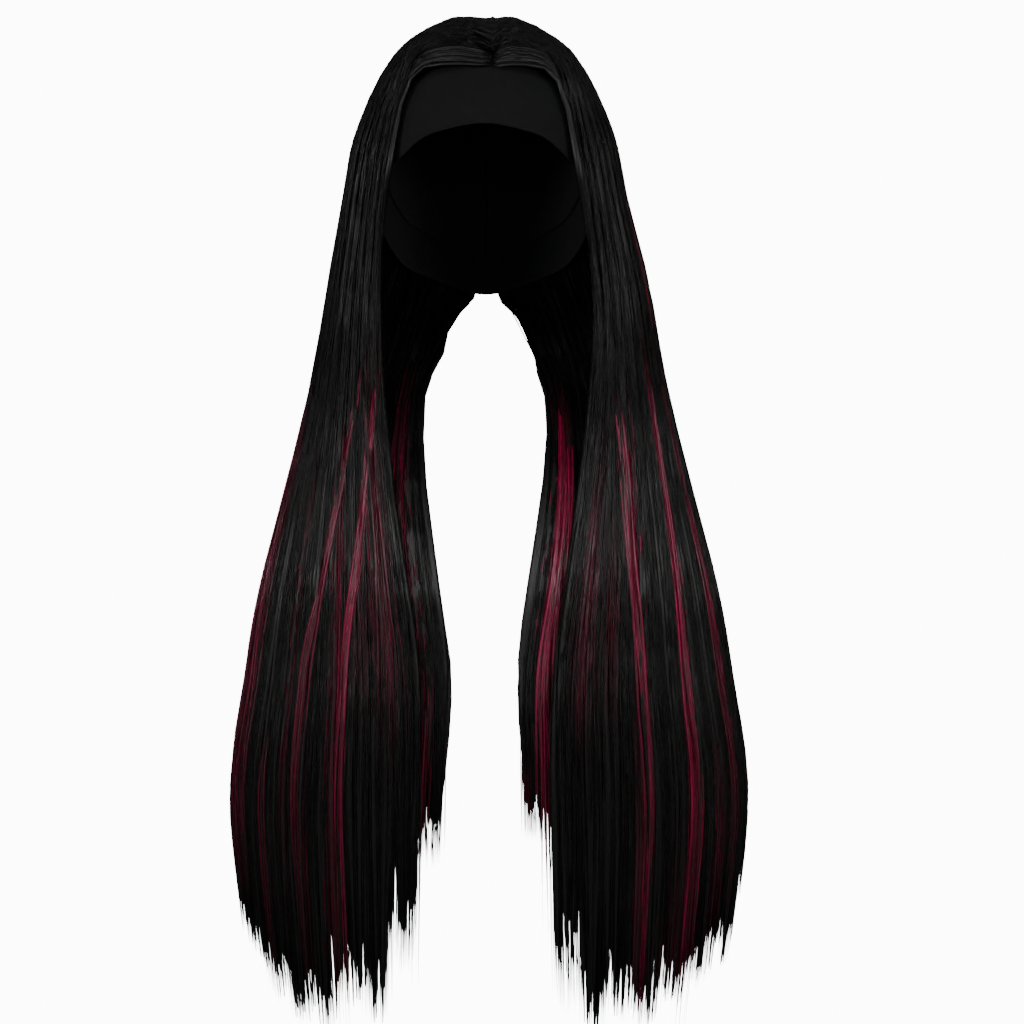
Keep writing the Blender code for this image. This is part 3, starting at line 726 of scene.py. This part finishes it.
def tube_mesh(name, batches):
    """One mesh of closed tubes. A batch is paths, directions and sizes of tubes with equal sides."""
    points = []
    quads = []
    caps = []
    maps = []
    cap_maps = []
    dyes = []
    tints = []
    base = 0
    for batch in batches:
        centre = batch["centre"]
        count, rings, _ = centre.shape
        sides = batch["profile"].shape[1]
        tangent = np.gradient(centre, axis=1)
        tangent /= np.linalg.norm(tangent, axis=-1, keepdims=True) + TINY
        over = np.cross(tangent, batch["inward"])
        over /= np.linalg.norm(over, axis=-1, keepdims=True) + TINY
        outward = np.cross(tangent, over)
        angle = math.pi / 2 + np.arange(sides) * 2.0 * math.pi / sides
        reach = batch["profile"][:, None, :, None]
        corners = (
            centre[:, :, None]
            + over[:, :, None] * (np.cos(angle)[:, None] * reach * batch["width"][:, :, None, None] / 2)
            + outward[:, :, None] * (np.sin(angle)[:, None] * reach * batch["thick"][:, :, None, None] / 2)
        )
        points.append(corners.reshape(-1, 3))
        ring_start = base + (np.arange(count)[:, None] * rings + np.arange(rings - 1)) * sides
        step = np.arange(sides)
        after = (step + 1) % sides
        quads.append(np.stack((
            ring_start[..., None] + step, ring_start[..., None] + after,
            ring_start[..., None] + sides + after, ring_start[..., None] + sides + step,
        ), axis=-1).reshape(-1, 4))
        head = base + np.arange(count)[:, None] * rings * sides
        caps.append((head + step[::-1]).reshape(-1, sides))
        caps.append((head + (rings - 1) * sides + step).reshape(-1, sides))
        length = np.concatenate((
            np.zeros((count, 1)), np.cumsum(np.linalg.norm(np.diff(centre, axis=1), axis=-1), axis=1)
        ), axis=1) + batch["shift"][:, None]
        girth = GIRTH_TO_WIDTH * batch["width"].max(axis=1)[:, None] / sides
        left = np.broadcast_to(
            (batch["shift"][:, None] + girth * step)[:, None], (count, rings - 1, sides)
        )
        right = left + girth[:, None]
        top = np.broadcast_to(length[:, :-1, None], left.shape)
        bottom = np.broadcast_to(length[:, 1:, None], left.shape)
        maps.append(np.stack((left, top, right, top, right, bottom, left, bottom), axis=-1).reshape(-1))
        cap_maps.append(np.zeros(count * sides * 4))
        dyes.append(np.repeat(batch["dye"].reshape(-1), sides))
        tints.append(np.repeat(np.repeat(batch["tint"], rings), sides))
        base += count * rings * sides
    points = np.concatenate(points)
    quads = np.concatenate(quads)
    loops = np.concatenate([quads.reshape(-1)] + [cap.reshape(-1) for cap in caps])
    sizes = np.concatenate([np.full(len(quads), 4)] + [np.full(len(cap), cap.shape[1]) for cap in caps])
    mesh = bpy.data.meshes.new(name)
    mesh.vertices.add(len(points))
    mesh.vertices.foreach_set("co", points.astype(np.float32).ravel())
    mesh.loops.add(len(loops))
    mesh.loops.foreach_set("vertex_index", loops.astype(np.int32))
    mesh.polygons.add(len(sizes))
    mesh.polygons.foreach_set("loop_start", (np.cumsum(sizes) - sizes).astype(np.int32))
    mesh.update(calc_edges=True)
    for key, values in (("dye", dyes), ("tint", tints)):
        layer = mesh.attributes.new(key, "FLOAT", "POINT")
        layer.data.foreach_set("value", np.concatenate(values).astype(np.float32))
    places = mesh.uv_layers.new(name="UVMap")
    places.data.foreach_set("uv", np.concatenate(maps + cap_maps).astype(np.float32))
    mesh.shade_smooth()
    made = bpy.data.objects.new(name, mesh)
    bpy.context.collection.objects.link(made)
    return made


def lock_batch(side, fall, count, rings, sides, face, thick):
    """Wide flat wisps side by side that cover one face of a fall and end in common tips."""
    share = (np.arange(count) + 0.5 + WISP_JITTER * (random.random(count) - 0.5)) / count
    if fall == "back":
        share = share / share.max()
    group = np.arange(count) // WISPS_TOGETHER
    middle = np.minimum((group + 0.5) * WISPS_TOGETHER / count, 1.0)
    off, tip = place_in_lock(side, fall, middle)
    lack = LOCK_LACK * random.random(group.max() + 1)[group] ** LACK_CURVE
    lack = lack + LOCK_SIDE_LACK * off ** LACK_CURVE + WISP_LACK * random.random(count)
    edge = np.clip(1.0 - np.minimum(middle, 1.0 - middle) / EDGE_SHARE, 0.0, 1.0)
    tip = tip - (tip - KNEE_SECTION) * lack - EDGE_LACK * edge
    start = np.zeros(count)
    at = stations(start, tip, rings)
    gather = np.clip((at - GATHER_SECTION) / (tip[:, None] - GATHER_SECTION), 0.0, 1.0) ** GATHER_CURVE
    sway = LOCK_SWAY / count * np.sin(at * LOCK_SWAY_PACE + TURN * random.random((count, 1)))
    closing = (middle - share) * CLOSENESS * (1.0 - EDGE_APART * edge)
    path = share[:, None] + closing[:, None] * gather + sway
    outer, inward, wall, breadth = wisp_paths(side, fall, path, at)
    ends = rounded_ends(
        at, start, tip, LOCK_OPENING, LOCK_CLOSING + LOCK_CLOSING_VARIES * random.random((count, 1))
    )
    width = breadth / count * LOCK_OVERLAP * ends
    thick = np.minimum(thick, THICKEST_IN_WALL * wall) * ends ** LOCK_END_CURVE
    if face == "outer":
        rise = parted(fall, share, at)
        lie = valley(side, fall, share)[:, None] * (1.0 - gather) + LOCK_LIE * random.random((count, 1))
        depth = (lie + 0.5 * thick) * rise + LOCK_ROOT_DEPTH * wall * (1.0 - rise)
    else:
        depth = wall - 0.5 * thick - INNER_LIE * random.random((count, 1))
    depth = depth + (0.5 * wall - depth) * gather * LOCK_TIP_DEPTH
    dye = LOCK_DYE * dye_amount(side, fall, share, at, np.full(count, LOCK_DYE_CHANCE))
    profile = 1.0 + LOCK_UNEVEN * (random.random((count, sides)) - 0.5)
    tint = LOCK_TINT * random.random(count)
    return bundle(outer + inward * depth[..., None], inward, width, thick, profile, dye, tint)


def strand_batch(side, fall, face, count, rings, starts, stops, depths, widths):
    """Loose single strands over one face of a fall; `stops` is None where they run to the tips."""
    share = random.random(count)
    off, tip = place_in_lock(side, fall, share)
    if stops is None:
        lack = STRAND_SIDE_LACK * off ** LACK_CURVE + STRAND_LEAST_LACK
        lack = lack + STRAND_LACK * random.random(count) ** STRAND_LACK_CURVE
        tip = tip - (tip - KNEE_SECTION) * lack
    else:
        tip = between(stops, random.random(count))
    start = between(starts, random.random(count))
    at = stations(start, tip, rings)
    gather = np.clip((at - GATHER_SECTION) / STRAND_GATHER_RUN, 0.0, 1.0) ** GATHER_CURVE
    pace = STRAND_SWAY_PACE + random.random((count, 1))
    sway = STRAND_SWAY * np.sin(at * pace + TURN * random.random((count, 1)))
    lean = (STRAND_LEAN * (random.random(count) - 0.5))[:, None] * gather
    outer, inward, wall, _ = wisp_paths(side, fall, share[:, None] + sway + lean, at)
    depth = between(depths, random.random((count, 1)))
    if face == "outer":
        rise = parted(fall, share, at)
        depth = depth + valley(side, fall, share)[:, None] * (1.0 - gather)
        depth = depth * rise + STRAND_ROOT_DEPTH * wall * (1.0 - rise)
    else:
        depth = wall - depth
    depth = depth + (0.5 * wall - depth) * gather * STRAND_TIP_DEPTH
    ends = rounded_ends(at, start, tip, STRAND_OPENING, STRAND_CLOSING)
    width = between(widths, random.random((count, 1))) * ends
    dye = dye_amount(side, fall, share, at, random.random(count))
    tint = random.random(count) ** STRAND_TINT_CURVE
    return bundle(
        outer + inward * depth[..., None], inward, width, width * STRAND_FLATNESS,
        np.ones((count, 3)), dye, tint,
    )


for side, fall in FALLS:
    locks = tube_mesh(f"{fall}_locks_{side}", [
        lock_batch(side, fall, *OUTER_LOCKS),
        lock_batch(side, fall, *INNER_LOCKS),
        strand_batch(side, fall, "inner", INNER_STRANDS[fall], *INNER_LAYER),
    ])
    dress_hair(locks, hair_black)
    strands = tube_mesh(f"{fall}_strands_{side}", [
        strand_batch(side, fall, "outer", *layer) for layer in OUTER_LAYERS
    ])
    dress_hair(strands, hair_black)

# Crown
# Wisps of the same hair, sewn in along the top of the cap and combed over it from side to side.
# They close the parting behind the forehead, and lie lower where it shows.

# Each layer's fall, first share across it, count, sides and breadth, and how low it lies in front.
CROWN_LAYERS = (
    ("front", 0.10, 60, 8, 0.0050, 0.0100),
    ("front", 0.15, 160, 3, 0.0009, 0.0090),
    ("back", 0.0, 60, 8, 0.0050, 0.0),
    ("back", 0.0, 160, 3, 0.0009, 0.0),
)
CROWN_RINGS = 8
CROWN_JITTER = 0.3
CROWN_REACH = 0.5
CROWN_REACH_VARIES = 0.9
CROWN_INWARD = 1.3
CROWN_CLOSING = 0.5
CROWN_TIP_WIDTH = 0.05
CROWN_END_CURVE = 0.7
WISP_LEAST_WIDTH = 0.7
WISP_WIDTH_VARIES = 0.6
CROWN_FLATNESS = 0.5
CROWN_THICKEST = 0.0020
CROWN_SIDE_DEPTH = 0.0015
CROWN_LIE = 0.0008
CROWN_FILL = 0.0074
CROWN_FILL_CURVE = 1.5
FILL_RISE = 0.4
FILL_FADE = 0.5
PARTED_SHARE = 0.45
WISP_UNEVEN = 0.2
CROWN_TINT = 0.6


def crown_batch(fall, first, count, sides, breadth, sunk):
    """Wisps that lie over the crown from one side to the other and close the parting there."""
    share = np.linspace(first, 1.0, count) + CROWN_JITTER / count * (random.random(count) - 0.5)
    reach = CROWN_REACH + CROWN_REACH_VARIES * random.random(count)
    half = reach[:, None] * np.linspace(0.0, 1.0, CROWN_RINGS) ** CROWN_INWARD
    shares = np.repeat(share[:, None], CROWN_RINGS, axis=1)
    left, right = (wisp_paths(side, fall, shares, half)[:2] for side in SIGN)
    outer, inward = (np.concatenate((l[:, ::-1], r[:, 1:]), axis=1) for l, r in zip(left, right))
    away = np.abs(np.linspace(-1.0, 1.0, 2 * CROWN_RINGS - 1))[None, :]
    ends = np.clip((1.0 - away) / CROWN_CLOSING, CROWN_TIP_WIDTH, 1.0) ** CROWN_END_CURVE
    width = breadth * (WISP_LEAST_WIDTH + WISP_WIDTH_VARIES * random.random((count, 1))) * ends
    thick = np.minimum(width * CROWN_FLATNESS, CROWN_THICKEST)
    low = sunk * np.clip(1.0 - share / PARTED_SHARE, 0.0, 1.0)
    if fall == "front":
        high = (share - PARTED_SHARE) / FILL_RISE
    else:
        high = 1.0 - share / FILL_FADE
    fill = CROWN_FILL * np.clip(high, 0.0, 1.0)
    depth = 0.5 * thick + CROWN_SIDE_DEPTH * away ** 2 + CROWN_LIE * random.random((count, 1))
    depth = depth + low[:, None] * (1.0 - away) - fill[:, None] * (1.0 - away) ** CROWN_FILL_CURVE
    profile = 1.0 + WISP_UNEVEN * (random.random((count, sides)) - 0.5)
    tint = CROWN_TINT * random.random(count)
    return bundle(
        outer + inward * depth[..., None], inward, width, thick, profile, np.zeros_like(width), tint
    )


crown = tube_mesh("crown_wisps", [crown_batch(*layer) for layer in CROWN_LAYERS])
dress_hair(crown, hair_black)

# Hairline
# Wisps of the same hair, sewn in along the front of the parting. They are combed over the edge of
# the cap and along the headband, and hide the stitches down to the temples.

# Each layer's count, rings, sides and breadth.
HAIRLINE_LAYERS = ((9, 18, 8, 0.0045), (60, 18, 3, 0.0009))
HAIRLINE_DROP = 0.017
HAIRLINE_WAY = (0.0, -0.55, -0.85)
HAIRLINE_TIP = 4.6
HAIRLINE_TIP_VARIES = 1.2
HAIRLINE_SHARE = 0.012
HAIRLINE_SHARE_VARIES = 0.02
HAIRLINE_OPENING = 0.2
HAIRLINE_CLOSING = 1.8
HAIRLINE_FLATNESS = 0.7
HAIRLINE_THICKEST = 0.0030
HAIRLINE_DEPTH = 0.35
HAIRLINE_STAND = BAND_STAND - 0.0006
HAIRLINE_STAND_VARIES = 0.0008
HAIRLINE_FULL_DROP = 1.3
HAIRLINE_FADE = 3.5
HAIRLINE_TINT = 0.8


def hairline_batch(side, count, rings, sides, breadth):
    """Wisps of one side, each a little lower on the band than the last and back in place below."""
    drop = HAIRLINE_DROP * (np.arange(count) + random.random(count)) / count
    start = np.zeros(count)
    tip = HAIRLINE_TIP + HAIRLINE_TIP_VARIES * random.random(count)
    at = stations(start, tip, rings)
    share = HAIRLINE_SHARE + HAIRLINE_SHARE_VARIES * random.random((count, 1)) + np.zeros_like(at)
    outer, inward, wall, _ = wisp_paths(side, "front", share, at)
    ends = rounded_ends(at, start, tip, HAIRLINE_OPENING, HAIRLINE_CLOSING)
    width = breadth * (WISP_LEAST_WIDTH + WISP_WIDTH_VARIES * random.random((count, 1))) * ends
    thick = np.minimum(width * HAIRLINE_FLATNESS, HAIRLINE_THICKEST)
    fade = np.clip(HAIRLINE_FULL_DROP - at / HAIRLINE_FADE, 0.0, 1.0)
    centre = outer + inward * (HAIRLINE_DEPTH * wall)[..., None]
    centre = centre + np.array(HAIRLINE_WAY) * (drop[:, None] * fade)[..., None]
    stand = HAIRLINE_STAND + HAIRLINE_STAND_VARIES * random.random((count, 1))
    close = cap_ratio(centre, stand) < 1.0
    centre = np.where(close[..., None], on_cap(centre, stand), centre)
    profile = 1.0 + WISP_UNEVEN * (random.random((count, sides)) - 0.5)
    tint = HAIRLINE_TINT * random.random(count)
    return bundle(centre, inward, width, thick, profile, np.zeros_like(width), tint)


hairline = tube_mesh("hairline_wisps", [
    hairline_batch(side, *layer) for side in SIGN for layer in HAIRLINE_LAYERS
])
dress_hair(hairline, hair_black)

# Burgundy streaks
# Bunches of the same hair dyed burgundy before sewing. They surface between the black locks,
# lie in the valleys of the curtains, and sink again towards the tips.
BURGUNDY_LINES = 900.0
STREAK_COUNT = 14
STREAK_RINGS = 24
STREAK_SIDES = 6
STREAK_WISPS = (0.0012, 0.0038)
STREAK_EARLIEST_ROOT = 0.5
STREAK_ROOTS = 0.9
STREAK_ROOT_CURVE = 1.5
STREAK_LATEST_TIP = 0.25
STREAK_TIPS = 1.1
STREAK_TIP_CURVE = 2
STREAK_SWAY = 0.4
STREAK_SWAY_PACE = 1.1
SLANT_EVEN = 0.05
SLANT_RUN = 3.0
SLANT_CURVE = 1.5
STREAK_OPENING = 0.9
STREAK_CLOSING = 1.3
STREAK_FLATNESS = 0.6
STREAK_THICKEST = 0.0016
STREAK_SUNK = 0.0012
STREAK_SURFACING = 0.6
STREAK_STAND = {"outer": 0.0008, "inner": 0.0004}
STREAK_TIP_DEPTH = 0.35
STREAK_TIP_RUN = 0.8
STREAK_DYE_RISE = 0.5
STREAK_DYE = (0.6, 1.0)
STREAK_TINT = (0.25, 1.0)

# Each streak's fall, its share across it, the face it lies on, the sections where it starts and
# ends, how far it leans to the inner edge above the chest, its half width and its strength.
STREAKS = {
    "streak_left_cheek": ("left", "front", 0.10, "outer", 6.3, 9.2, 0.0, 0.030, 0.40),
    "streak_left_bright": ("left", "front", 0.30, "outer", 5.8, 10.75, 0.27, 0.022, 1.0),
    "streak_left_middle": ("left", "front", 0.46, "outer", 6.0, 10.2, 0.28, 0.018, 0.60),
    "streak_left_low": ("left", "front", 0.63, "outer", 9.6, 10.6, 0.0, 0.014, 0.5),
    "streak_left_edge": ("left", "front", 0.87, "outer", 6.2, 10.15, 0.0, 0.075, 0.50),
    "streak_left_inner": ("left", "back", 0.92, "inner", 9.0, 10.5, 0.0, 0.020, 0.9),
    "streak_right_bright": ("right", "front", 0.33, "outer", 6.2, 10.85, 0.14, 0.020, 0.9),
    "streak_right_middle": ("right", "front", 0.53, "outer", 5.7, 10.75, 0.0, 0.024, 1.0),
    "streak_right_edge": ("right", "front", 0.76, "outer", 3.6, 10.2, 0.0, 0.030, 0.6),
    "streak_right_inner": ("right", "back", 0.92, "inner", 6.2, 10.35, 0.0, 0.030, 1.0),
    "streak_right_cheek": ("right", "front", 0.10, "outer", 7.4, 9.2, 0.0, 0.020, 0.35),
}


def streak_batch(side, fall, middle, face, start, end, slant, spread, strength):
    """Dyed wisps of one streak, which surface between the black locks and sink again."""
    count = STREAK_COUNT
    share = middle + spread * (random.random(count) - 0.5) * 2.0
    root = start - STREAK_EARLIEST_ROOT + STREAK_ROOTS * random.random(count) ** STREAK_ROOT_CURVE
    tip = end + STREAK_LATEST_TIP - STREAK_TIPS * random.random(count) ** STREAK_TIP_CURVE
    at = stations(root, tip, STREAK_RINGS)
    sway = STREAK_SWAY * spread * np.sin(at * STREAK_SWAY_PACE + TURN * random.random((count, 1)))
    above_chest = np.clip((CHEST_SECTION - at) / SLANT_RUN, 0.0, 1.0)
    sway = sway - slant * (SLANT_EVEN + above_chest ** SLANT_CURVE)
    path = share[:, None] + sway
    outer, inward, wall, _ = wisp_paths(side, fall, path, at)
    ends = rounded_ends(at, root, tip, STREAK_OPENING, STREAK_CLOSING)
    width = between(STREAK_WISPS, random.random((count, 1))) * ends
    thick = np.minimum(STREAK_FLATNESS * width, STREAK_THICKEST)
    sunk = STREAK_SUNK * (1.0 - np.clip((at - root[:, None]) / STREAK_SURFACING, 0.0, 1.0))
    stand = STREAK_STAND[face] * random.random((count, 1))
    if face == "outer":
        depth = valley(side, fall, path) - stand + sunk
    else:
        depth = wall - stand - sunk
    sinking = np.clip((at - KNEE_SECTION) / STREAK_TIP_RUN, 0.0, 1.0)
    depth = depth + (STREAK_TIP_DEPTH * wall - depth) * sinking
    profile = 1.0 + WISP_UNEVEN * (random.random((count, STREAK_SIDES)) - 0.5)
    rise = np.clip((at - root[:, None]) / STREAK_DYE_RISE, 0.0, 1.0)
    dye = strength * rise * between(STREAK_DYE, random.random((count, 1)))
    tint = between(STREAK_TINT, random.random(count))
    return bundle(outer + inward * depth[..., None], inward, width, thick, profile, dye, tint)


hair_burgundy = hair_material("hair_burgundy", BURGUNDY_LINES)
for node, streak in STREAKS.items():
    wisps = tube_mesh(f"{node}_wisps", [streak_batch(*streak)])
    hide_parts(node)
    dress_hair(wisps, hair_burgundy)
